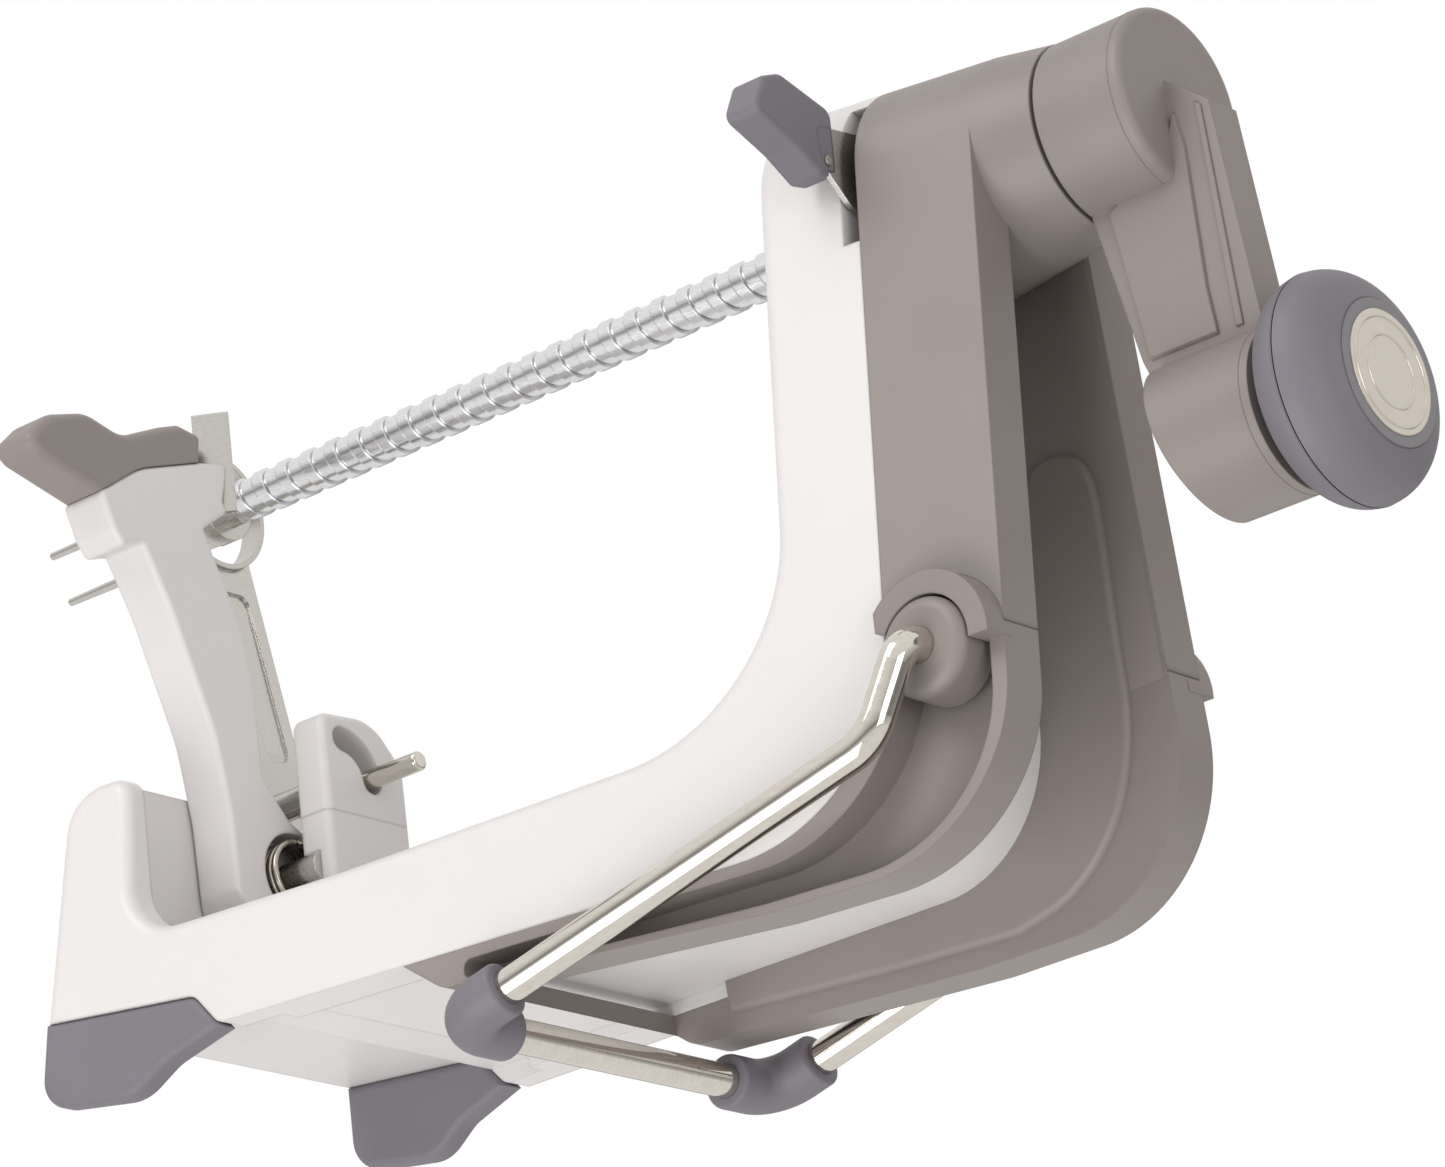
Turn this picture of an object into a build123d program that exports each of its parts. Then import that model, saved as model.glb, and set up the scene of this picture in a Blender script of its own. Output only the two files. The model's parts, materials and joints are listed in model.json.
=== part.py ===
"""Apple peeler, corer and slicer: a hand-cranked machine on a J-shaped frame.

Modelled level with the lead screw along X (crank end at +X, blades at -X), then
tilted on to its two front feet and wire stand. Millimetres, +Z up.
"""

import os
from math import cos, radians, sin, sqrt, tan

from build123d import *

# ---- Overall stance ----
STAND_TILT = 8.0  # the screw rises this many degrees towards the crank

# ---- Leaning sides of the body ----
SIDE_W = 19.3  # half width of the body on the screw axis at the rear edge
WALL = 9.4  # thickness of the two rear walls
LEAN = 0.09  # extra half width for each mm below the screw axis
FLARE_NEAR = 0.12  # extra width of the peeler side for each mm forward of the rear edge
FLARE_FAR = 0.008  # the same for the other, straighter side
REAR_X = 66.4  # rear edge of the upright

# ---- Main frame profile ----
FRAME_FRONT_X = 22.0  # front face of the upright
FRAME_REAR_X = 43.0  # joint between white frame and rear cover
FRAME_LOW_Z = -120.5  # joint between frame and lower cover under the base
ELBOW_R = 32.0  # radius of that joint round the elbow
WEB_REAR_X = 39.0  # web seen inside the rear channel
WEB_LOW_Z = -118.0
END_WALL_TOP_Z = -67.0
END_WALL_X = -119.5  # rear face of the end wall
BASE_TOP_Z = -98.7  # top of the base ahead of the elbow
FRAME_SKIN = 1.9  # wall of the hollow upright
EDGE_R = 2.5  # rounding along the sides of the white frame
LEG_T = 5.5  # thickness of a front leg across the body
FOOT_EDGE_R = 1.6  # rounding of the rubber feet

# ---- Rear covers ----
ELBOW_OUT_R = 30.0
COVER_LOW_Z = -131.0
SEAM_Z = -93.4  # joint between the two rear covers
HOOD_R = 13.5  # round hood over the stand pivot
COVER_SKIN = 1.2
BARREL_X = 78.2  # rear end of the barrel housing
BARREL_R = 17.3
POCKET_DEPTH = 7.0

# ---- Lead screw, fork and crank ----
PITCH = 6.35  # quarter-inch slices
SCREW_R = 4.25  # over the thread crest
JOURNAL_R = 3.0  # plain end of the screw held in the crank
JOURNAL_END_X = 84.0
SCREW_FIT = 0.06
SCREW_END_X = -129.0
THREAD_END_X = 60.0
FORK_TIP_X = -178.6
FORK_R = 4.84  # the two prongs stand this far off the screw axis
FORK_ANGLE = 115.0
PRONG_R = 1.35
TRAVEL = 108.0
HUB_R = 17.2
HUB_END_X = 97.7
WASHER_T = 0.8
CRANK_DROP = 62.8  # hub axis to knob axis
BOSS_R = 14.9
WEB_T = 8.0
CRANK_SKIN = 1.5  # wall of the hollow crank
KNOB_X = 122.3
KNOB_R = 20.8
KNOB_HALF = 8.4
SPINDLE_R = 2.6
SPINDLE_X = 103.0
SPINDLE_FIT = 0.05
DISC_R = 11.2

# ---- Wire stand ----
PIVOT_X = 53.0
PIVOT_Z = -93.5
WIRE_R = 3.15  # the stand is thin steel tube
WIRE_BORE_R = 2.5
SLEEVE_R = 5.1
BAR_X = -45.5
BAR_NEAR_Y = -48.0
BAR_FAR_Y = 37.0
FLOOR = 144.9  # distance of the floor below the screw axis origin

# ---- Peeling arm, corer and their bracket ----
ARM_FRONT_X = -124.2
ARM_REAR_X = -113.8
ARM_AXIS_Y = -10.5
ARM_AXIS_Z = -82.0
ARM_HUB_R = 16.6
AXLE_R = 3.0
ARM_FIT = 0.06
RING_X = -134.6
RING_R = 11.7
RING_WALL = 1.0
RING_LEN = 5.0
BRACKET_X = -111.5
BRACKET_T = 8.0
CORER_PIVOT_Y = -7.0
CORER_PIVOT_Z = -65.5
PEG_Y = 1.2
PEG_Z = -63.8
PEG_R = 1.9
PEG_TIP_X = -91.0
SPRING_R = 6.4
SPRING_WIRE = 0.6
SPRING_TURNS = 5

# ---- Release lever ----
LEVER_X = 40.2
LEVER_T = 1.1
LEVER_AXIS_Y = 14.0
LEVER_AXIS_Z = 3.0
LEVER_PIN_R = 2.0
NUT_LOW_Z = -4.35  # lower edge of the screw hole in the lever

parts = {}


def above_floor(x, height=0.0):
    """Level, in the machine's own axes, of a point this high above the floor."""
    tilt = radians(STAND_TILT)
    return (height - FLOOR - x * sin(tilt)) / cos(tilt)


BAR_Z = above_floor(BAR_X, SLEEVE_R)


def half_width(x, z, width=SIDE_W, flare=FLARE_NEAR):
    """Distance of one leaning side from the screw's plane, at a point of the profile."""
    return width - LEAN * z + flare * (REAR_X - x)


def cross_section(x, width, z_low):
    """Arched section of the leaning body at one station along the screw."""
    near_y = half_width(x, 0, width)
    far_y = half_width(x, 0, width, FLARE_FAR)
    centre_y = (far_y - near_y) / 2
    top_r = (far_y + near_y) / 2 / sqrt(1 + LEAN**2)
    touch_y = top_r / sqrt(1 + LEAN**2)
    touch_z = touch_y * LEAN
    far_top = (centre_y + touch_y, touch_z)
    near_top = (centre_y - touch_y, touch_z)
    far_low = (half_width(x, z_low, width, FLARE_FAR), z_low)
    near_low = (-half_width(x, z_low, width), z_low)
    outline = Wire(
        [
            Edge.make_line(far_low, far_top),
            Edge.make_three_point_arc(far_top, (centre_y, top_r), near_top),
            Edge.make_line(near_top, near_low),
            Edge.make_line(near_low, far_low),
        ]
    )
    station = Plane(origin=(x, 0, 0), x_dir=(0, 1, 0), z_dir=(1, 0, 0))
    return station * make_face(outline)


def wedge(width=SIDE_W, x_rear=100.0, x_front=-160.0, z_low=-170.0):
    """Solid between the leaning sides, arched over the screw."""
    ends = [cross_section(x, width, z_low) for x in (x_rear, x_front)]
    return loft(ends, ruled=True)


def rounded(points, radii=None):
    """Closed outline with a tangent arc of the given radius at each point."""
    count = len(points)
    radii = radii or [0] * count
    corners = [Vector(*point) for point in points]
    stops = []
    for i, corner in enumerate(corners):
        back = (corners[i - 1] - corner).normalized()
        ahead = (corners[(i + 1) % count] - corner).normalized()
        half_angle = radians(back.get_angle(ahead)) / 2
        reach = radii[i] / tan(half_angle)
        bisector = (back + ahead).normalized()
        middle = corner + bisector * (radii[i] / sin(half_angle) - radii[i])
        stops.append((corner + back * reach, middle, corner + ahead * reach))
    edges = []
    for i, (start, middle, end) in enumerate(stops):
        if radii[i]:
            edges.append(Edge.make_three_point_arc(start, middle, end))
        following = stops[(i + 1) % count][0]
        if (following - end).length > 1e-6:
            edges.append(Edge.make_line(end, following))
    return make_face(Wire(edges))


def slab(points, radii=None, half=90.0):
    """Side profile in X and Z, given a thickness both ways across the body."""
    return extrude(Plane.XZ * rounded(points, radii), amount=half, both=True)


def rod(x0, x1, r, y=0.0, z=0.0):
    """Round bar along X."""
    middle = Pos((x0 + x1) / 2, y, z) * Rot(0, 90, 0)
    return middle * Cylinder(r, abs(x1 - x0))


def cross_rod(y0, y1, r, x=0.0, z=0.0):
    """Round bar along Y."""
    middle = Pos(x, (y0 + y1) / 2, z) * Rot(90, 0, 0)
    return middle * Cylinder(r, abs(y1 - y0))


def plate(points, x0, x1, radii=None):
    """Outline in Y and Z, given a thickness along the screw."""
    station = Plane(origin=(x0, 0, 0), x_dir=(0, 1, 0), z_dir=(1, 0, 0))
    return extrude(station * rounded(points, radii), amount=x1 - x0)


def cone(x0, x1, r0, r1):
    """Tapered round bar along X on the screw axis."""
    outline = Polyline((x0, 0), (x1, 0), (x1, r1), (x0, r0), close=True)
    return revolve(Plane.XZ * make_face(outline), Axis.X)


# ---- Shared side profiles ----
elbow_joint = (FRAME_REAR_X, FRAME_LOW_Z)
frame_points = [
    (FRAME_REAR_X, 30.0),
    (FRAME_FRONT_X, 30.0),
    (FRAME_FRONT_X, -95.4),
    (-74.0, BASE_TOP_Z),
    (END_WALL_X, BASE_TOP_Z),
    (END_WALL_X, END_WALL_TOP_Z),
    (-134.0, END_WALL_TOP_Z),
    (-139.3, -110.6),
    (-105.0, -113.8),
    (-99.5, FRAME_LOW_Z),
    elbow_joint,
]
frame_radii = [0, 16.0, 35.0, 60.0, 10.0, 4.0, 9.0, 0, 4.0, 3.0, ELBOW_R]
j_outer_points = [
    (REAR_X, 30.0),
    (FRAME_REAR_X, 30.0),
    (FRAME_REAR_X, FRAME_LOW_Z + 0.0),
    (-59.0, FRAME_LOW_Z),
    (-50.5, -126.9),
    (16.0, COVER_LOW_Z),
    (REAR_X, COVER_LOW_Z),
]
j_outer_radii = [0, 0, ELBOW_R, 0, 6.0, 40.0, ELBOW_OUT_R]
body = wedge()
channel = wedge(SIDE_W - WALL)

# ---- Main frame ----
frame = slab(frame_points, frame_radii) & body
side_faces = [face for face in frame.faces() if abs(face.normal_at().Y) > 0.9]
side_edges = [edge for face in side_faces for edge in face.edges()]
soft = [edge for edge in side_edges if (edge @ 0.5).X < FRAME_REAR_X - 0.1 and (edge @ 0.5).Z > -110]
frame = fillet(ShapeList(soft), EDGE_R)
web_cut = slab(
    [(90, 30), (WEB_REAR_X, 30), (WEB_REAR_X, WEB_LOW_Z), (-97, WEB_LOW_Z), (-97, -150), (90, -150)],
    [0, 0, 27.0, 3.0, 0, 0],
)
barrel_keep = rod(30, 60, 16)
frame -= (web_cut & channel) - barrel_keep
between_legs = wedge(SIDE_W - LEG_T, x_rear=-60) & slab([(-150, -117), (-90, -117), (-90, -150), (-150, -150)])
frame -= between_legs
hollow = slab(
    [(37.2, 13.5), (23.9, 13.5), (23.9, -97.5), (-24, -100.6), (-24, -115.6), (37.2, -115.6)],
    [3.0, 3.0, 38.0, 3.0, 3.0, 24.0],
) & wedge(SIDE_W - FRAME_SKIN)
frame -= hollow
frame -= rod(0, 60, SCREW_R + SCREW_FIT)
arm_room = [(ARM_FRONT_X - 0.3, 16.0), (ARM_FRONT_X - 0.3, -43.5), (-105.0, -43.5), (-105.0, 16.0)]
frame -= Pos(0, 0, -99.2) * extrude(rounded(arm_room, [4.0, 4.0, 0, 0]), amount=60)
stem_room = [(-128.6, 12.0), (-128.6, -15.0), (-115.0, -15.0), (-115.0, 12.0)]
frame -= Pos(0, 0, -72.6) * extrude(rounded(stem_room, [3.0, 3.0, 0, 0]), amount=20)
parts["main_frame"] = frame


# ---- Rear covers ----
j_band = slab(j_outer_points, j_outer_radii) & body
j_band -= slab(frame_points, frame_radii)
hood_core = cross_rod(-60, 60, HOOD_R, PIVOT_X, PIVOT_Z)
above_seam = slab([(30, 40), (90, 40), (90, SEAM_Z), (30, SEAM_Z)])
wall_hollow = slab(
    [(42, 6), (REAR_X - 3, 6), (REAR_X - 3, SEAM_Z + 4), (64, SEAM_Z + 4), (42, -74)],
    [0, 3.0, 2.0, 2.0, 0],
)
wall_hollow = (wall_hollow & wedge(SIDE_W - COVER_SKIN)) - wedge(SIDE_W - WALL + COVER_SKIN)
arch_r43 = half_width(FRAME_REAR_X, 0) / sqrt(1 + LEAN**2)
inner_r43 = half_width(FRAME_REAR_X, 0, SIDE_W, FLARE_FAR) - 2.0
arch_r66 = half_width(REAR_X, 0) / sqrt(1 + LEAN**2)
upper = (j_band & above_seam) - channel - hood_core - wall_hollow
upper += cone(FRAME_REAR_X, REAR_X, arch_r43, arch_r66) & body
upper += cone(REAR_X, BARREL_X, arch_r66, BARREL_R)
upper -= cone(FRAME_REAR_X - 1, BARREL_X - 3, inner_r43, BARREL_R - 1.8) - rod(40, 80, 6.0)
upper -= rod(30, 90, SCREW_R + SCREW_FIT)
parts["upper_rear_cover"] = upper

channel_cut = slab([(90, 40), (30, 40), (30, -110), (-54, -110), (-54, -150), (90, -150)]) & channel
lower = (j_band - above_seam) + (j_band & above_seam & hood_core)
lower -= channel_cut
pocket_shape = slab(
    [(45.6, SEAM_Z), (45.6, -122.8), (-46.0, -122.8), (-46.0, -126.4), (16.0, -129.2), (63.4, -129.2), (63.4, SEAM_Z)],
    [0, 30.0, 1.5, 1.5, 40.0, 27.4, 0],
)
pocket_floor = wedge(SIDE_W - POCKET_DEPTH)
lower -= pocket_shape - pocket_floor
for side, flare in ((-1, FLARE_NEAR), (1, FLARE_FAR)):
    lower -= cross_rod(side * 24.2, side * 40, 9.3, PIVOT_X, PIVOT_Z)
    hood_y = half_width(PIVOT_X, PIVOT_Z, SIDE_W, flare)
    ring = cross_rod(side * (hood_y - 4), side * (hood_y + 3.2), HOOD_R, PIVOT_X, PIVOT_Z)
    ring -= cross_rod(side * 20, side * 40, 9.3, PIVOT_X, PIVOT_Z)
    ring &= slab([(FRAME_REAR_X, -60), (90, -60), (90, SEAM_Z - 1), (60, SEAM_Z - 1), (FRAME_REAR_X, -88)])
    lower += ring
    lower -= cross_rod(side * 15, side * 30, WIRE_R + 0.05, PIVOT_X, PIVOT_Z)
parts["lower_rear_cover"] = lower

# ---- Front feet ----
foot = slab(
    [
        (-139.3, -110.6),
        (-140.6, above_floor(-140.6)),
        (-119.5, above_floor(-119.5)),
        (-112.0, -124.6),
        (-99.5, -120.7),
        (-105.0, -113.8),
    ],
    [0, 6.0, 9.0, 9.0, 0, 4.0],
)
foot &= body
foot -= slab(frame_points, frame_radii)
foot -= wedge(SIDE_W - LEG_T, x_rear=-60)
toe_edges = [edge for edge in foot.edges() if (edge @ 0.5).Z < -115 and abs((edge @ 1 - edge @ 0).Y) < 6]
foot = fillet(ShapeList([edge for edge in toe_edges if abs((edge @ 1 - edge @ 0).X) > 1]), FOOT_EDGE_R)
for name, side in (("foot_near", -1), ("foot_far", 1)):
    half_space = Pos(-120, side * 50, -120) * Box(80, 100, 80)
    parts[name] = foot & half_space

# ---- Lead screw and fork ----
screw = rod(SCREW_END_X, THREAD_END_X, SCREW_R)
parts["lead_screw"] = screw + rod(THREAD_END_X, JOURNAL_END_X, JOURNAL_R)
fork = rod(SCREW_END_X - 10, SCREW_END_X, 4.0)
for turn in (FORK_ANGLE, FORK_ANGLE + 180):
    y = FORK_R * cos(radians(turn))
    z = FORK_R * sin(radians(turn))
    prong = Pos(0, y, z) * cone(FORK_TIP_X, SCREW_END_X - 4, 0.75, PRONG_R)
    fork += prong
fork += rod(SCREW_END_X - 8, SCREW_END_X - 4, 6.4)
parts["fork"] = fork

# ---- Crank ----
hub_start = BARREL_X + WASHER_T
washer = rod(BARREL_X, hub_start, 9.0) - rod(70, 90, SCREW_R + SCREW_FIT)
parts["thrust_washer"] = washer
hub = rod(hub_start, HUB_END_X, HUB_R)
hub = fillet(hub.edges().filter_by(GeomType.CIRCLE).sort_by(Axis.X)[-1], 1.6)
arm_web = slab(
    [(hub_start, -6), (hub_start, -17), (85.4, -46), (91.4, -62), (112, -62), (110.8, -48), (106.2, -4.4), (97.4, 2.6)],
    half=WEB_T / 2,
)
boss = rod(80, 113.0, BOSS_R, z=-CRANK_DROP)
boss -= slab([(60, -40), (87.0, -40), (96.5, -80), (60, -80)])
crank = hub + arm_web + boss
crank -= rod(70, JOURNAL_END_X, JOURNAL_R)
crank -= rod(70, HUB_END_X - 3.0, HUB_R - CRANK_SKIN) - rod(70, HUB_END_X, 7.0)
crank -= rod(SPINDLE_X, 120, SPINDLE_R, z=-CRANK_DROP)
boss_hollow = rod(89.0, 110.0, BOSS_R - CRANK_SKIN, z=-CRANK_DROP)
boss_hollow -= slab([(60, -40), (88.8, -40), (98.3, -80), (60, -80)])
crank -= boss_hollow - rod(90, 115, 4.4, z=-CRANK_DROP)
web_hollow = [(85.0, -20.0), (88.5, -46.0), (108.0, -46.0), (104.0, -20.0)]
crank -= slab(web_hollow, [2.0] * 4, half=WEB_T / 2 - CRANK_SKIN)
parts["crank_arm"] = crank
parts["knob_spindle"] = rod(SPINDLE_X, 127.5, SPINDLE_R, z=-CRANK_DROP)
knob_outline = [(113.6, 0), (113.6, 12.0), (117.3, KNOB_R), (127.6, KNOB_R), (131.4, 13.4), (131.4, 0)]
knob_face = rounded(knob_outline, [0, 4.0, 8.0, 8.5, 2.0, 0])
knob = Pos(0, 0, -CRANK_DROP) * revolve(Plane.XZ * knob_face, Axis.X)
knob -= rod(129.0, 140, 13.2, z=-CRANK_DROP)
knob_hollow = rod(118.0, 130, 12.4, z=-CRANK_DROP) + rod(118.0, 126.5, 17.6, z=-CRANK_DROP)
knob -= knob_hollow - rod(110, 130, 5.6, z=-CRANK_DROP)
knob -= rod(113.0, 127.55, SPINDLE_R + SPINDLE_FIT, z=-CRANK_DROP)
parts["knob_grip"] = knob
rim = rod(129.0, 131.6, 13.2, z=-CRANK_DROP) - rod(131.1, 140, DISC_R, z=-CRANK_DROP)
parts["knob_rim"] = rim
parts["knob_disc"] = rod(131.1, 131.8, DISC_R, z=-CRANK_DROP)

# ---- Wire stand ----
bend_near = (46.5, -42.0, -110.2)
bend_far = (46.5, 39.5, -110.2)
corner_near = (BAR_X, BAR_NEAR_Y, BAR_Z)
corner_far = (BAR_X, BAR_FAR_Y, BAR_Z)
near_path = [(PIVOT_X, -25.0, PIVOT_Z), (PIVOT_X, -38.5, PIVOT_Z), bend_near, corner_near]
far_path = [corner_far, bend_far, (PIVOT_X, 36.5, PIVOT_Z), (PIVOT_X, 25.0, PIVOT_Z)]
wire_path = FilletPolyline(*near_path, *far_path, radius=[5.0, 9.0, 7.0, 7.0, 9.0, 5.0])
wire_start = Plane(origin=near_path[0], z_dir=(0, -1, 0))
wire = sweep(wire_start * Circle(WIRE_R), path=wire_path)
parts["stand_wire"] = wire - sweep(wire_start * Circle(WIRE_BORE_R), path=wire_path)


def wire_run(path, radius):
    """Round bar along a path of the stand."""
    start = Plane(origin=path @ 0, z_dir=path % 0)
    return sweep(start * Circle(radius), path=path)


for name, bend, corner in (("sleeve_near", bend_near, corner_near), ("sleeve_far", bend_far, corner_far)):
    along_arm = (Vector(*bend) - Vector(*corner)).normalized() * 12.0
    along_bar = Vector(0, 13.0 if name == "sleeve_near" else -13.0, 0)
    sleeve_end = Vector(*corner) + along_arm
    sleeve_path = FilletPolyline(sleeve_end, Vector(*corner), Vector(*corner) + along_bar, radius=7.0)
    sleeve = wire_run(sleeve_path, SLEEVE_R)
    sleeve = fillet(sleeve.edges().filter_by(GeomType.CIRCLE), 0.8)
    parts[name] = sleeve - wire
    nest = wire_run(sleeve_path, SLEEVE_R + 0.3)
    nest += Pos(sleeve_end) * Sphere(SLEEVE_R + 0.3)
    parts["lower_rear_cover"] = parts["lower_rear_cover"] - nest
for name, side in (("pivot_cap_near", -1), ("pivot_cap_far", 1)):
    cap = cross_rod(side * 24.6, side * 34.0, 8.9, PIVOT_X, PIVOT_Z)
    cap = fillet(cap.edges().filter_by(GeomType.CIRCLE).sort_by(Axis.Y)[0 if side < 0 else -1], 2.4)
    parts[name] = cap - wire

# ---- Release lever ----
lever_plate = plate(
    [
        (-29.0, 1.0),
        (-22.0, -5.6),
        (-9.0, -7.4),
        (10.0, -3.0),
        (18.0, -1.0),
        (18.0, 7.0),
        (9.0, 10.0),
        (-9.0, 10.0),
        (-30.0, 8.0),
    ],
    LEVER_X,
    LEVER_X + LEVER_T,
    [2.0, 4.0, 6.0, 6.0, 3.8, 3.8, 6.0, 6.0, 2.0],
)
nut_r = SCREW_R + 0.35
nut_outline = [(-nut_r, NUT_LOW_Z), (nut_r, NUT_LOW_Z), (nut_r, 7.4), (-nut_r, 7.4)]
lever_plate -= plate(nut_outline, LEVER_X - 1, LEVER_X + 3, [nut_r - 0.01] * 4)
lever_plate -= rod(30, 50, LEVER_PIN_R + 0.05, LEVER_AXIS_Y, LEVER_AXIS_Z)
parts["lever_plate"] = lever_plate
lever_pin = rod(LEVER_X - 2.4, FRAME_REAR_X + 3.0, LEVER_PIN_R, LEVER_AXIS_Y, LEVER_AXIS_Z)
parts["lever_pin"] = lever_pin
grip = plate(
    [(-25.0, -0.6), (-24.6, 12.0), (-38.0, 15.8), (-43.0, 14.0), (-46.5, 7.0), (-36.0, 2.6), (-29.6, -1.4)],
    LEVER_X - 6.2,
    LEVER_X + 1.2,
    [1.5, 2.5, 3.0, 2.0, 2.0, 6.0, 1.5],
)
grip = fillet(grip.edges().filter_by(Plane.YZ), 1.0)
parts["lever_grip"] = grip - lever_plate
rivet = rod(LEVER_X - 6.6, LEVER_X + 1.7, 0.9, -27.6, 1.6)
parts["lever_grip"] -= rivet
parts["lever_plate"] -= rivet
parts["lever_rivet"] = rivet
slot_outline = [(-40, -13), (18.4, -13), (18.4, 5.5), (11.0, 14.5), (-40, 14.5)]
slot = plate(slot_outline, LEVER_X - 0.5, 50, [0, 3, 3, 3, 0])
parts["main_frame"] = parts["main_frame"] - slot - lever_pin
parts["upper_rear_cover"] = parts["upper_rear_cover"] - lever_pin

# ---- Corer ----
coring = rod(RING_X - RING_LEN, RING_X, RING_R) - rod(-160, -120, RING_R - RING_WALL)
parts["coring_ring"] = coring
stem_outline = [(-8.0, -6), (8.0, -6), (6.0, -46), (5.6, -66), (2.0, -70.0), (-10.0, -70.0), (-11.5, -62), (-6.0, -46)]
stem_side = [(-138.4, -9), (-136.0, -9), (-125.6, -52), (-125.6, -72), (-128.0, -72), (-128.0, -52)]
stem = plate(stem_outline, -150, -110, [0, 0, 8, 3, 3, 3, 5, 8]) & slab(stem_side, [0, 0, 20, 0, 0, 20])
stem -= rod(-160, -120, RING_R)
recess_side = [(-134.9, -16), (-132, -16), (-122, -52), (-122, -56), (-126.2, -56), (-126.2, -52)]
recess = plate([(-4.6, -17), (4.6, -17), (3.0, -54), (-3.0, -54)], -150, -110, [2, 2, 2, 2])
stem -= recess & slab(recess_side)
pivot_pin = rod(-128.0, BRACKET_X + 4.0, 2.0, CORER_PIVOT_Y, CORER_PIVOT_Z)
stem -= rod(-130, -120, 2.05, CORER_PIVOT_Y, CORER_PIVOT_Z)
peg = rod(-128.0, PEG_TIP_X, PEG_R, PEG_Y, PEG_Z)
peg = fillet(peg.edges().filter_by(GeomType.CIRCLE).sort_by(Axis.X)[-1], 0.7)
stem -= rod(-130, -120, PEG_R, PEG_Y, PEG_Z)
parts["corer_stem"] = stem
parts["corer_peg"] = peg
parts["corer_pivot_pin"] = pivot_pin

# ---- Corer bracket ----
bracket_outline = [(-11.4, -52.5), (-11.6, -104), (11.0, -104), (10.6, -60), (3.0, -51.6)]
bracket = plate(bracket_outline, BRACKET_X, BRACKET_X + BRACKET_T, [2.5, 0, 0, 8, 10])
peg_reach = sqrt((PEG_Y - CORER_PIVOT_Y) ** 2 + (PEG_Z - CORER_PIVOT_Z) ** 2)
slot_line = CenterArc((CORER_PIVOT_Y, CORER_PIVOT_Z), peg_reach, 8.0, 76.0)
slot_face = Plane(origin=(BRACKET_X - 1, 0, 0), x_dir=(0, 1, 0), z_dir=(1, 0, 0)) * SlotArc(slot_line, 5.0)
peg_slot = extrude(slot_face, amount=BRACKET_T + 2)
head_edges = [edge for edge in bracket.edges() if (edge @ 0.5).Z > -71 and abs((edge @ 1 - edge @ 0).X) < 0.1]
bracket = fillet(ShapeList(head_edges), 1.5)
bracket -= peg_slot
bracket -= rod(BRACKET_X - 1, BRACKET_X + 4.0, 2.0, CORER_PIVOT_Y, CORER_PIVOT_Z)
axle = rod(-131.0, BRACKET_X + 5.0, AXLE_R, ARM_AXIS_Y, ARM_AXIS_Z)
bracket -= axle
bracket_head = bracket & (Pos(-107, 0, -40) * Box(30, 60, 63.6))
bracket_base = bracket - bracket_head
bracket_base -= parts["main_frame"]
parts["corer_bracket"] = bracket_head
parts["bracket_base"] = max(bracket_base.solids(), key=lambda piece: piece.volume)

# ---- Peeling arm ----
arm_outline = [
    (-25.9, -98.4),
    (-27.0, -72.0),
    (-29.6, -57.0),
    (-38.6, -33.6),
    (-44.2, -22.8),
    (-49.3, -24.3),
    (-51.6, -21.4),
    (-54.2, -14.6),
    (-43.4, -7.7),
    (-26.4, -2.7),
    (-19.2, -1.7),
    (-21.4, -9.7),
    (-20.4, -11.6),
    (-27.4, -16.4),
    (-19.9, -33.1),
    (-17.2, -46.0),
    (-17.0, -64.0),
    (-10.5, -71.4),
    (0.0, -76.0),
    (0.0, -92.0),
    (-10.5, -98.4),
]
arm_radii = [3, 30, 30, 40, 1, 1, 1, 1.5, 20, 20, 1, 0.5, 0.8, 0.8, 30, 20, 6, 6, 6, 6, 6]
arm = plate(arm_outline, ARM_FRONT_X, ARM_REAR_X, arm_radii)
hub_disc = rod(ARM_FRONT_X, ARM_REAR_X, ARM_HUB_R, ARM_AXIS_Y, ARM_AXIS_Z)
arm &= hub_disc + Pos(-119, 0, ARM_AXIS_Z + 60) * Box(40, 160, 120)
long_edges = [edge for edge in arm.edges() if abs((edge @ 1 - edge @ 0).X) < 0.1 and edge.length > 3]
low_edges = [edge for edge in long_edges if -62 < (edge @ 0.5).Z < -17]
arm = fillet(ShapeList(low_edges), 1.0)
arm -= rod(ARM_REAR_X - 6.0, ARM_REAR_X + 1, 8.4, ARM_AXIS_Y, ARM_AXIS_Z)
arm -= rod(-140, -100, AXLE_R + ARM_FIT, ARM_AXIS_Y, ARM_AXIS_Z)
parts["peeling_arm"] = arm
tab_outline = [
    (-54.2, -14.6),
    (-43.4, -7.7),
    (-26.4, -2.7),
    (-25.6, 3.0),
    (-31.5, 4.0),
    (-36.0, 2.6),
    (-47.0, -1.8),
    (-56.0, 0.8),
    (-66.0, -1.8),
    (-72.4, -7.8),
    (-69.0, -10.4),
]
tab = plate(tab_outline, ARM_FRONT_X, ARM_REAR_X, [0, 20, 0, 1.2, 1.2, 4, 8, 8, 8, 2.2, 3])
tab_edges = [edge for edge in tab.edges() if abs((edge @ 1 - edge @ 0).X) < 0.1]
tab_edges = [edge for edge in tab_edges if (edge @ 0.5).Y < -54.5 or ((edge @ 0.5).Z > -2 and (edge @ 0.5).Y < -29)]
tab = fillet(ShapeList(tab_edges), 2.0)
tab -= arm
parts["thumb_tab"] = tab
blade = Pos(-116.0, -21.0, -1.2) * Rot(0, 0, 37) * Box(7.0, 1.2, 20.0)
parts["peeling_arm"] -= blade
parts["thumb_tab"] -= blade
parts["peeling_blade"] = blade
parts["arm_axle"] = axle
parts["main_frame"] -= axle
coil_pitch = 2 * SPRING_WIRE + 0.15
spring_path = Helix(coil_pitch, coil_pitch * SPRING_TURNS, SPRING_R, direction=(1, 0, 0))
wire_at = Plane(origin=spring_path @ 0, z_dir=spring_path % 0)
spring = sweep(wire_at * Circle(SPRING_WIRE), path=spring_path, is_frenet=True)
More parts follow.
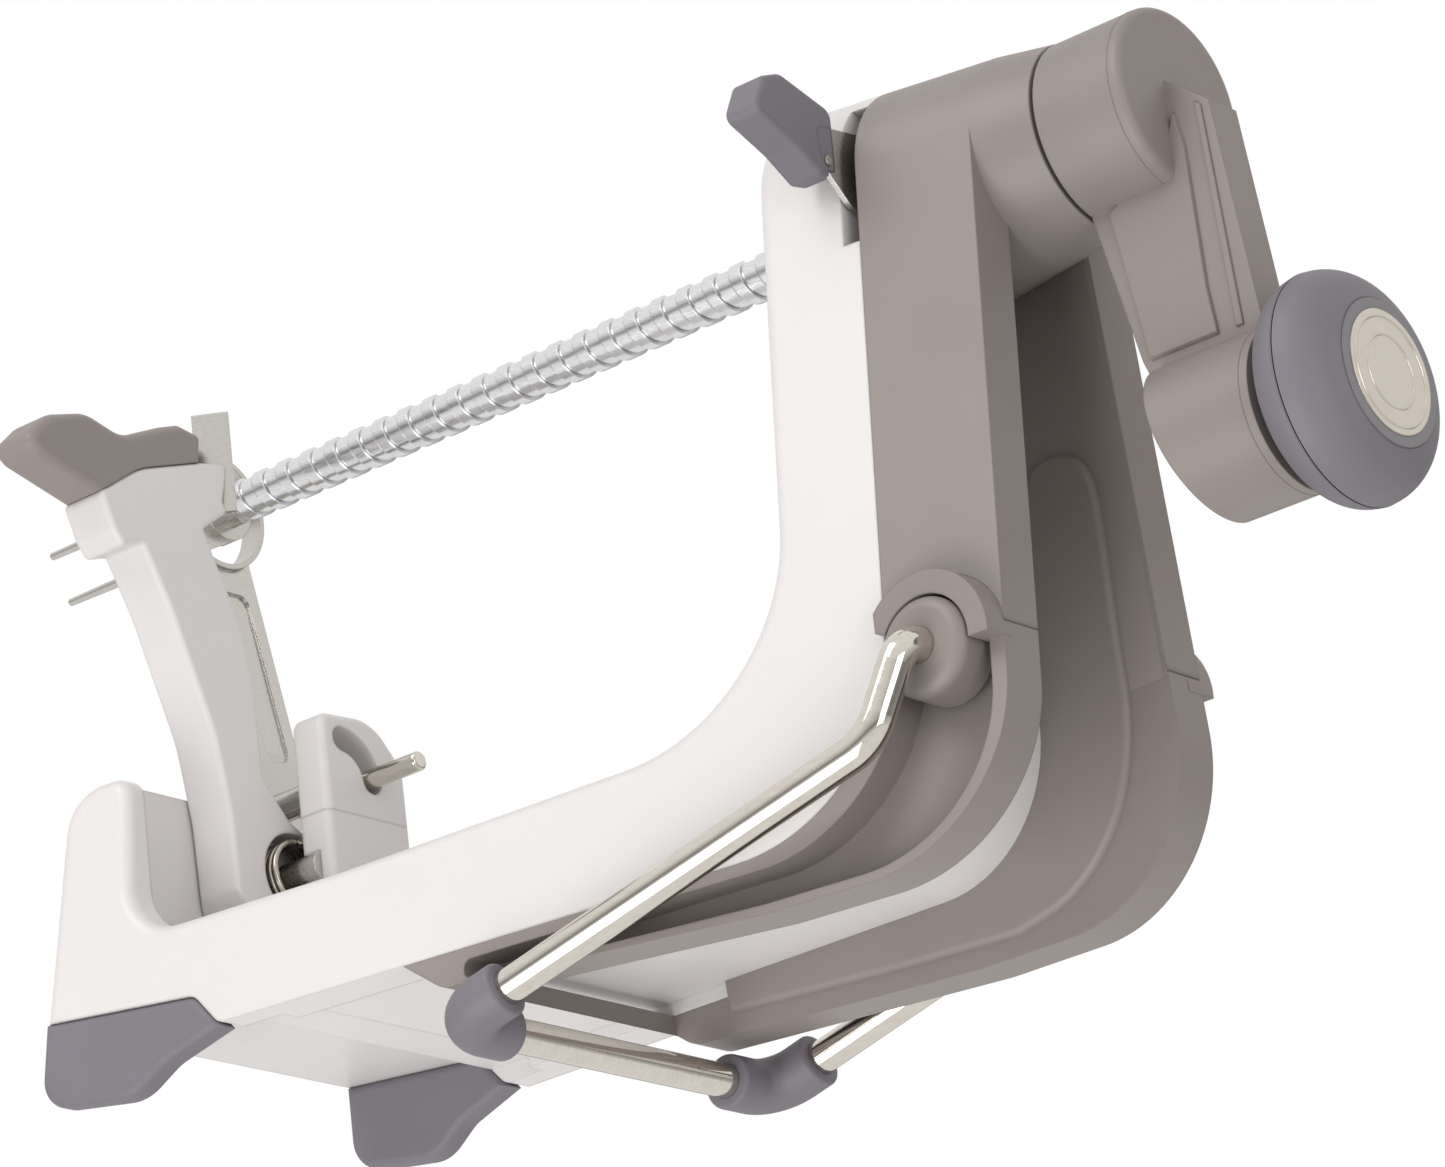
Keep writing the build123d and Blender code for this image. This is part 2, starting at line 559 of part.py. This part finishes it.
parts["torsion_spring"] = Pos(ARM_REAR_X - 5.1, ARM_AXIS_Y, ARM_AXIS_Z) * spring
parts["bracket_base"] = parts["bracket_base"] - parts["arm_axle"]

# ---- Tilt on to the feet and the stand, then centre over the origin ----
tilted = {name: Rot(0, -STAND_TILT, 0) * item for name, item in parts.items()}
boxes = [item.bounding_box() for item in tilted.values()]
centre_x = (min(box.min.X for box in boxes) + max(box.max.X for box in boxes)) / 2
centre_y = (min(box.min.Y for box in boxes) + max(box.max.Y for box in boxes)) / 2
floor_z = min(box.min.Z for box in boxes)
print("shift", round(centre_x, 3), round(centre_y, 3), round(floor_z, 3))
os.makedirs("parts", exist_ok=True)
for name, item in tilted.items():
    placed = Pos(-centre_x, -centre_y, -floor_z) * item
    export_step(placed, f"parts/{name}.step")
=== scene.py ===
"""Looks of the apple peeler and corer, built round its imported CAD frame."""

import json
import math

import bpy
import bmesh
from mathutils import Matrix, Vector


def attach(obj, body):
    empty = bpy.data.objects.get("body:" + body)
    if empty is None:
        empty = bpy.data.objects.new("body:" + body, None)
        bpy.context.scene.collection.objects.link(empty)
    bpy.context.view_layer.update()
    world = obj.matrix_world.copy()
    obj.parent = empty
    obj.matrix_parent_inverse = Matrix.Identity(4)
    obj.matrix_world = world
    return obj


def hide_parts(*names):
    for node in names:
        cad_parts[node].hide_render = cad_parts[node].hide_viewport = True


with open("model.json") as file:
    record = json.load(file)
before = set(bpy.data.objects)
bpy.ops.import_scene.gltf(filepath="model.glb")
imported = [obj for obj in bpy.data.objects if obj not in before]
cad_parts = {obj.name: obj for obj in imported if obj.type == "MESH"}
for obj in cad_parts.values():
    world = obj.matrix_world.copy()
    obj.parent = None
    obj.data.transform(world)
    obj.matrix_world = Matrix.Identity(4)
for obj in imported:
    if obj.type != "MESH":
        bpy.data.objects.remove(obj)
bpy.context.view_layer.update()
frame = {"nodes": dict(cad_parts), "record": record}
nodes = frame["nodes"]
scene = bpy.context.scene

MM = 0.001
TILT = math.radians(8.0)  # the screw rises this much towards the crank
ORIGIN = Vector((18.34, 14.33, 144.9)) * MM  # the screw axis origin in the row frame
LEVEL = Matrix.Translation(ORIGIN) @ Matrix.Rotation(-TILT, 4, "Y")

# ---------------------------------------------------------------- camera
LENS = 168.67  # solved from the machine's straight lines in the photograph, as are the next two
CAMERA_PLACE = (0.77168, -0.87939, -0.2232)
CAMERA_DIRECTION = Vector((-0.62594, 0.73603, 0.25781))

camera_data = bpy.data.cameras.new("camera")
camera_data.sensor_width = 36.0
camera_data.lens = LENS
camera_data.clip_end = 20.0
camera = bpy.data.objects.new("camera", camera_data)
camera.location = CAMERA_PLACE
camera.rotation_euler = CAMERA_DIRECTION.to_track_quat("-Z", "Y").to_euler()
scene.collection.objects.link(camera)
scene.camera = camera


# ---------------------------------------------------------------- materials
NOISE_LOW, NOISE_HIGH = 0.3, 0.7  # most of a noise texture's values lie between these
ROUGH_SPREAD = 0.05  # how far the roughness wanders either way
SMOOTHEST = 0.03
MOTTLE_SCALE = 38.0


class Shader:
    """A node material with object-space coordinates and short helpers."""

    def __init__(self, name):
        self.slot = name
        self.material = bpy.data.materials.new(name + "_look")
        self.material.use_nodes = True
        self.tree = self.material.node_tree
        self.bsdf = self.tree.nodes["Principled BSDF"]
        self.coords = self.tree.nodes.new("ShaderNodeTexCoord").outputs["Object"]

    def link(self, out, into):
        self.tree.links.new(out, into)

    def noise(self, scale, detail=3.0, roughness=0.5, stretch=None):
        vector = self.coords
        if stretch:
            mapping = self.tree.nodes.new("ShaderNodeMapping")
            mapping.inputs["Scale"].default_value = stretch
            mapping.inputs["Rotation"].default_value = (0, TILT, 0)
            self.link(vector, mapping.inputs["Vector"])
            vector = mapping.outputs["Vector"]
        node = self.tree.nodes.new("ShaderNodeTexNoise")
        node.inputs["Scale"].default_value = scale
        node.inputs["Detail"].default_value = detail
        node.inputs["Roughness"].default_value = roughness
        self.link(vector, node.inputs["Vector"])
        return node.outputs["Fac"]

    def ramp(self, source, stops):
        node = self.tree.nodes.new("ShaderNodeValToRGB")
        ramp = node.color_ramp
        while len(ramp.elements) < len(stops):
            ramp.elements.new(0.5)
        for element, (place, colour) in zip(ramp.elements, stops):
            element.position = place
            element.color = (*colour, 1.0)
        self.link(source, node.inputs["Fac"])
        return node.outputs["Color"]

    def spread(self, source, low, high):
        node = self.tree.nodes.new("ShaderNodeMapRange")
        node.inputs["From Min"].default_value = NOISE_LOW
        node.inputs["From Max"].default_value = NOISE_HIGH
        node.inputs["To Min"].default_value = low
        node.inputs["To Max"].default_value = high
        self.link(source, node.inputs["Value"])
        return node.outputs["Result"]

    def relief(self, source, height, edge=0.0):
        bump = self.tree.nodes.new("ShaderNodeBump")
        bump.inputs["Distance"].default_value = height
        bump.inputs["Strength"].default_value = 1.0
        self.link(source, bump.inputs["Height"])
        if edge:
            bevel = self.tree.nodes.new("ShaderNodeBevel")
            bevel.samples = 4
            bevel.inputs["Radius"].default_value = edge
            self.link(bevel.outputs["Normal"], bump.inputs["Normal"])
        self.link(bump.outputs["Normal"], self.bsdf.inputs["Normal"])

    def mottle(self, source, colour, amount):
        """Vary the base colour a little either way."""
        stops = [(NOISE_LOW, shade(colour, 1 - amount)), (NOISE_HIGH, shade(colour, 1 + amount))]
        self.link(self.ramp(source, stops), self.bsdf.inputs["Base Color"])


def shade(colour, factor):
    return tuple(min(1.0, part * factor) for part in colour)


def plastic(name, colour, rough, grain, depth, edge, mottle):
    """Moulded plastic: a fine spark-eroded grain and faint colour mottling."""
    look = Shader(name)
    look.mottle(look.noise(MOTTLE_SCALE, 4.0), colour, mottle)
    fine = look.noise(grain, 2.0, 0.6)
    look.link(look.spread(fine, rough - ROUGH_SPREAD, rough + ROUGH_SPREAD), look.bsdf.inputs["Roughness"])
    look.relief(fine, depth, edge)
    return look


def metal(name, colour, rough, stretch, scale, depth, edge, mottle):
    """Metal with faint drawing or brushing lines along it."""
    look = Shader(name)
    lines = look.noise(scale, 3.0, 0.6, stretch)
    look.mottle(lines, colour, mottle)
    low = max(SMOOTHEST, rough - ROUGH_SPREAD)
    look.link(look.spread(lines, low, rough + ROUGH_SPREAD), look.bsdf.inputs["Roughness"])
    look.relief(lines, depth, edge)
    look.bsdf.inputs["Metallic"].default_value = 1.0
    return look


white = plastic("white_plastic", (0.635, 0.615, 0.61), 0.36, 2600.0, 0.000006, 0.0009, 0.008)
white.bsdf.inputs["Subsurface Weight"].default_value = 0.1
white.bsdf.inputs["Subsurface Radius"].default_value = (0.003, 0.002, 0.0015)
taupe = plastic("taupe_plastic", (0.235, 0.203, 0.192), 0.46, 3000.0, 0.000018, 0.0005, 0.03)
rubber = plastic("grey_rubber", (0.158, 0.146, 0.168), 0.55, 2400.0, 0.00002, 0.0006, 0.04)
rim = plastic("rim_plastic", (0.19, 0.18, 0.195), 0.4, 2600.0, 0.00001, 0.0003, 0.03)
zinc = metal("screw_steel", (0.79, 0.80, 0.82), 0.2, (1, 10, 10), 420.0, 0.000006, 0.00015, 0.08)
chrome = metal("wire_chrome", (0.72, 0.68, 0.62), 0.07, (1, 6, 6), 160.0, 0.000003, 0.0, 0.05)
stainless = metal("stainless", (0.60, 0.58, 0.55), 0.24, (1, 1, 9), 900.0, 0.000004, 0.0003, 0.08)
nickel = metal("nickel_disc", (0.68, 0.63, 0.56), 0.22, (1, 1, 1), 300.0, 0.000001, 0.0003, 0.03)
spring = metal("spring_steel", (0.50, 0.46, 0.41), 0.25, (1, 1, 1), 900.0, 0.000005, 0.0, 0.1)
looks = (white, taupe, rubber, rim, zinc, chrome, stainless, nickel, spring)
by_slot = {look.slot: look.material for look in looks}
slot_of = {entry["node"]: entry["material_slot"] for entry in frame["record"]["subparts"]}
for name, node in nodes.items():
    node.data.materials.clear()
    node.data.materials.append(by_slot[slot_of[name]])


# ---------------------------------------------------------------- mesh helpers
RING_STEPS = 96
BEAD_SIDES = 10


def piece(name, verts, faces, body, slot, replaced=(), smooth=True):
    """A mesh given in millimetres in the machine's level axes, riding on a body."""
    mesh = bpy.data.meshes.new(name)
    mesh.from_pydata([LEVEL @ (Vector(v) * MM) for v in verts], [], faces)
    mesh.validate()
    for polygon in mesh.polygons:
        polygon.use_smooth = smooth
    obj = bpy.data.objects.new(name, mesh)
    scene.collection.objects.link(obj)
    mesh.materials.append(by_slot[slot])
    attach(obj, body)
    if replaced:
        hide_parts(*replaced)
    return obj


def face_outwards(obj):
    """Turn every face of a closed mesh outwards."""
    mesh = bmesh.new()
    mesh.from_mesh(obj.data)
    bmesh.ops.recalc_face_normals(mesh, faces=mesh.faces)
    mesh.to_mesh(obj.data)
    mesh.free()


def closed_tube(name, path, radius, body, slot, sides):
    """A round bead along a closed path."""
    points = [Vector(point) for point in path]
    count = len(points)
    verts, faces = [], []
    side = None
    for i, point in enumerate(points):
        along = (points[(i + 1) % count] - points[i - 1]).normalized()
        if side is None:
            side = along.orthogonal().normalized()
        side = (side - along * side.dot(along)).normalized()
        up = along.cross(side)
        for k in range(sides):
            angle = 2 * math.pi * k / sides
            verts.append(point + (side * math.cos(angle) + up * math.sin(angle)) * radius)
    for i in range(count):
        for k in range(sides):
            a, b = i * sides + k, i * sides + (k + 1) % sides
            c, d = ((i + 1) % count) * sides + (k + 1) % sides, ((i + 1) % count) * sides + k
            faces.append((a, b, c, d))
    return piece(name, verts, faces, body, slot)


def smooth_path(points, steps):
    """Extra points between the given ones on a Catmull-Rom curve."""
    knots = [Vector(point) for point in points]
    knots = [knots[0] * 2 - knots[1]] + knots + [knots[-1] * 2 - knots[-2]]
    out = []
    for a, b, c, d in zip(knots, knots[1:], knots[2:], knots[3:]):
        for step in range(steps):
            t = step / steps
            square = (2 * a - 5 * b + 4 * c - d) * t**2
            cube = (3 * b - a - 3 * c + d) * t**3
            out.append(0.5 * (2 * b + (c - a) * t + square + cube))
    return out + [knots[-2]]


def ring(name, x, z, radius, wire, body, slot):
    """A round bead about a line parallel to the screw."""
    turns = [2 * math.pi * i / RING_STEPS for i in range(RING_STEPS)]
    path = [(x, radius * math.cos(turn), z + radius * math.sin(turn)) for turn in turns]
    return closed_tube(name, path, wire, body, slot, BEAD_SIDES)


# ---------------------------------------------------------------- lead screw
PITCH = 6.35
CREST = 4.24
ROOT = 3.72
GROOVE_DEPTH = 0.3  # a shadow line below the root, at the foot of each ridge
GROOVE_END = 0.045  # this and the next three are phases across one pitch
RISE = 0.50
TOP = 0.60
DROP = 0.985
SCREW_START = -129.0
SCREW_END = 60.0


def thread_radius(phase):
    """Radius of the screw at a phase of 0 to 1 across one pitch."""
    if phase < GROOVE_END:
        return ROOT - GROOVE_DEPTH
    if phase < RISE:
        return ROOT
    if phase < TOP:
        t = (phase - RISE) / (TOP - RISE)
        return ROOT + (CREST - ROOT) * t * t * (3 - 2 * t)
    if phase < DROP:
        return CREST
    return ROOT + (CREST - ROOT) * (1 - (phase - DROP) / (1 - DROP))


def lead_screw():
    """The screw with its helical ridges, closer rows where the radius changes."""
    around = 72
    places = [0.004, 0.04, 0.05, 0.12, 0.25, 0.4, 0.5, 0.525, 0.55, 0.575, 0.6]
    places += [0.7, 0.8, 0.9, 0.96, 0.985, 0.9925, 0.9999]
    turns = int((SCREW_END - SCREW_START) / PITCH) + 3
    verts, faces, rows = [], [], []
    for turn in range(-1, turns):
        rows += [(turn + place, thread_radius(place)) for place in places]
    count = len(rows)
    for i in range(around):
        angle = 2 * math.pi * i / around
        for step, radius in rows:
            x = SCREW_START + PITCH * (step + i / around)
            x = min(max(x, SCREW_START), SCREW_END)
            verts.append((x, radius * math.cos(angle), radius * math.sin(angle)))
    for i in range(around):
        shift = len(places) if i == around - 1 else 0
        following = (i + 1) % around
        for j in range(count - 1):
            k = j + shift
            if k + 1 >= count:
                continue
            here, there = i * count + j, following * count + k
            faces.append((here, there, there + 1, here + 1))
    screw = piece("lead_screw_thread", verts, faces, "screw_and_crank", "screw_steel", ["lead_screw"])
    mesh = bmesh.new()
    mesh.from_mesh(screw.data)
    bmesh.ops.remove_doubles(mesh, verts=mesh.verts, dist=0.00001)
    bmesh.ops.dissolve_degenerate(mesh, edges=mesh.edges, dist=0.00001)
    bmesh.ops.holes_fill(mesh, edges=mesh.edges)
    bmesh.ops.recalc_face_normals(mesh, faces=mesh.faces)
    mesh.to_mesh(screw.data)
    mesh.free()
    screw.data.set_sharp_from_angle(angle=math.radians(20))


lead_screw()

# ---------------------------------------------------------------- moulded details
CRANK_DROP = 62.8
REAR_X = 66.4
WALL_Y = 9.9  # half the width between the rear walls, at the screw's height
LEAN = 0.09
FLARE_NEAR = 0.12
FLARE_FAR = 0.008
PAD_ROOT = 0.6  # a pad starts this far inside its wall


def wall_point(x, z, lift, near):
    """A point this far off the inner face of a rear wall."""
    flare = FLARE_NEAR if near else FLARE_FAR
    y = WALL_Y - LEAN * z + flare * (REAR_X - x) - lift
    return (x, -y if near else y, z)


def panel(name, outline, y_base, y_top, slope, body, slot):
    """A raised plate on a face across the body, given by its outline in X and Z."""
    count = len(outline)
    centre_x = sum(x for x, _ in outline) / count
    centre_z = sum(z for _, z in outline) / count
    verts = [(x, y_base, z) for x, z in outline]
    for x, z in outline:
        away = Vector((x - centre_x, z - centre_z)).normalized() * slope
        verts.append((x - away.x, y_top, z - away.y))
    faces = [tuple(range(count)), tuple(range(count, 2 * count))]
    for i in range(count):
        k = (i + 1) % count
        faces.append((i, k, count + k, count + i))
    face_outwards(piece(name, verts, faces, body, slot, smooth=False))


# The pad's edge in X and Z, measured off the photograph through the solved camera
rib_places = [
    (34.8, -126.0),
    (39.9, -123.9),
    (46.4, -119.4),
    (52.3, -112.3),
    (56.2, -103.0),
    (57.8, -94.5),
    (58.2, -83.6),
    (59.0, -69.3),
    (59.3, -57.0),
    (57.2, -50.4),
    (52.0, -47.9),
    (46.8, -48.8),
    (44.4, -52.0),
]


def wall_pad(name, outline, lift, edge, near=False):
    """A raised pad with a rounded edge on the inner face of a rear wall."""
    flat = [Vector((x, z)) for x, z in outline]
    count = len(flat)
    inward = []
    for i, here in enumerate(flat):
        along = (flat[(i + 1) % count] - flat[i - 1]).normalized()
        inward.append(Vector((-along.y, along.x)))
    if sum(a.x * b.y - a.y * b.x for a, b in zip(flat, flat[1:] + flat[:1])) < 0:
        inward = [-way for way in inward]
    verts, faces = [], []
    steps = 6
    for step in range(steps + 1):
        turn = math.pi / 2 * step / steps
        height = lift * math.sin(turn) if step else -PAD_ROOT
        for here, way in zip(flat, inward):
            spot = here + way * edge * (1 - math.cos(turn))
            verts.append(wall_point(spot.x, spot.y, height, near))
    for step in range(steps):
        for i in range(count):
            k = (i + 1) % count
            low, high = step * count, (step + 1) * count
            faces.append((low + i, low + k, high + k, high + i))
    faces.append(tuple(range(steps * count, (steps + 1) * count)))
    faces.append(tuple(range(count)))
    obj = piece(name, verts, faces, "frame", "taupe_plastic")
    face_outwards(obj)
    obj.data.set_sharp_from_angle(angle=math.radians(35))


pad_edge = [(point.x, point.z) for point in smooth_path([(x, 0, z) for x, z in rib_places], 6)]
pad_edge += [(42.0, -60.0), (37.5, -92.0), (33.5, -104.0), (24.0, -113.0), (5.0, -117.0), (-40.0, -117.0)]
pad_edge += [(-40.0, -123.8), (0.0, -126.6), (26.0, -127.8)]
wall_pad("far_wall_pad", pad_edge, 1.5, 1.3)
# These two close the rear walls, whose CAD hollows are open towards the channel
face_edge = [(40.0, -4.0), (65.4, -4.0), (65.4, -92.8), (40.0, -92.8)]
for name, near in (("far_wall_face", False), ("near_wall_face", True)):
    wall_pad(name, face_edge, 0.12, 0.1, near)

web_panel_edge = [(82.6, -17.5), (96.8, -9.0), (99.0, -4.0), (100.4, -11.0)]
web_panel_edge += [(100.9, -38.0), (101.8, -46.5), (87.2, -46.5)]
panel(
    "crank_web_panel",
    web_panel_edge,
    -3.9,
    -4.7,
    0.5,
    "screw_and_crank",
    "taupe_plastic",
)
panel(
    "crank_web_edge",
    [(103.4, -3.6), (104.6, -4.8), (106.9, -46.5), (105.4, -46.5)],
    -3.9,
    -4.4,
    0.2,
    "screw_and_crank",
    "taupe_plastic",
)
ring("knob_disc_bead", 131.66, -CRANK_DROP, 9.9, 0.34, "crank_knob", "nickel_disc")
ring("knob_disc_ring", 131.70, -CRANK_DROP, 6.6, 0.26, "crank_knob", "nickel_disc")
ring("knob_seam", 122.3, -CRANK_DROP, 20.72, 0.16, "crank_knob", "grey_rubber")
ring("hub_seam", 95.2, 0.0, 17.15, 0.12, "screw_and_crank", "taupe_plastic")
ring("boss_seam", 111.2, -CRANK_DROP, 14.85, 0.12, "screw_and_crank", "taupe_plastic")


# ---------------------------------------------------------------- lights and world
def area(name, place, target, size, energy, colour=(1, 1, 1)):
    data = bpy.data.lights.new(name, "AREA")
    data.shape = "SQUARE"
    data.size = size
    data.energy = energy
    data.color = colour
    light = bpy.data.objects.new(name, data)
    light.location = place
    light.rotation_euler = (Vector(target) - Vector(place)).to_track_quat("-Z", "Y").to_euler()
    scene.collection.objects.link(light)


centre = (0.0, 0.014, 0.09)
area("key", (-0.3, -1.1, 1.2), centre, 0.9, 9.5, (1.0, 0.99, 0.98))
area("fill", (1.3, -0.5, 0.15), centre, 0.7, 3.5)
area("low", (0.0, -0.9, -0.7), centre, 0.9, 8.0)

world = bpy.data.worlds.new("world")
scene.world = world
world.use_nodes = True
tree = world.node_tree
background = tree.nodes["Background"]
seen = tree.nodes.new("ShaderNodeLightPath")
direction = tree.nodes.new("ShaderNodeTexCoord")
split = tree.nodes.new("ShaderNodeSeparateXYZ")
height = tree.nodes.new("ShaderNodeValToRGB")
place = tree.nodes.new("ShaderNodeMapRange")
place.inputs["From Min"].default_value = -1.0
tree.links.new(direction.outputs["Generated"], split.inputs["Vector"])
tree.links.new(split.outputs["Z"], place.inputs["Value"])
tree.links.new(place.outputs["Result"], height.inputs["Fac"])
ramp = height.color_ramp
stops = [(0.0, 0.85), (0.36, 0.80), (0.49, 0.20), (0.53, 0.45), (0.7, 0.85), (1.0, 0.9)]
while len(ramp.elements) < len(stops):
    ramp.elements.new(0.5)
for element, (where, value) in zip(ramp.elements, stops):
    element.position = where
    element.color = (value, value * 0.985, value * 0.965, 1)
plain = tree.nodes.new("ShaderNodeBackground")
plain.inputs["Color"].default_value = (1, 1, 1, 1)
plain.inputs["Strength"].default_value = 1.0
background.inputs["Strength"].default_value = 1.02
tree.links.new(height.outputs["Color"], background.inputs["Color"])
mix = tree.nodes.new("ShaderNodeMixShader")
tree.links.new(seen.outputs["Is Camera Ray"], mix.inputs["Fac"])
tree.links.new(background.outputs["Background"], mix.inputs[1])
tree.links.new(plain.outputs["Background"], mix.inputs[2])
tree.links.new(mix.outputs["Shader"], tree.nodes["World Output"].inputs["Surface"])
scene.view_settings.view_transform = "Standard"
scene.view_settings.look = "None"
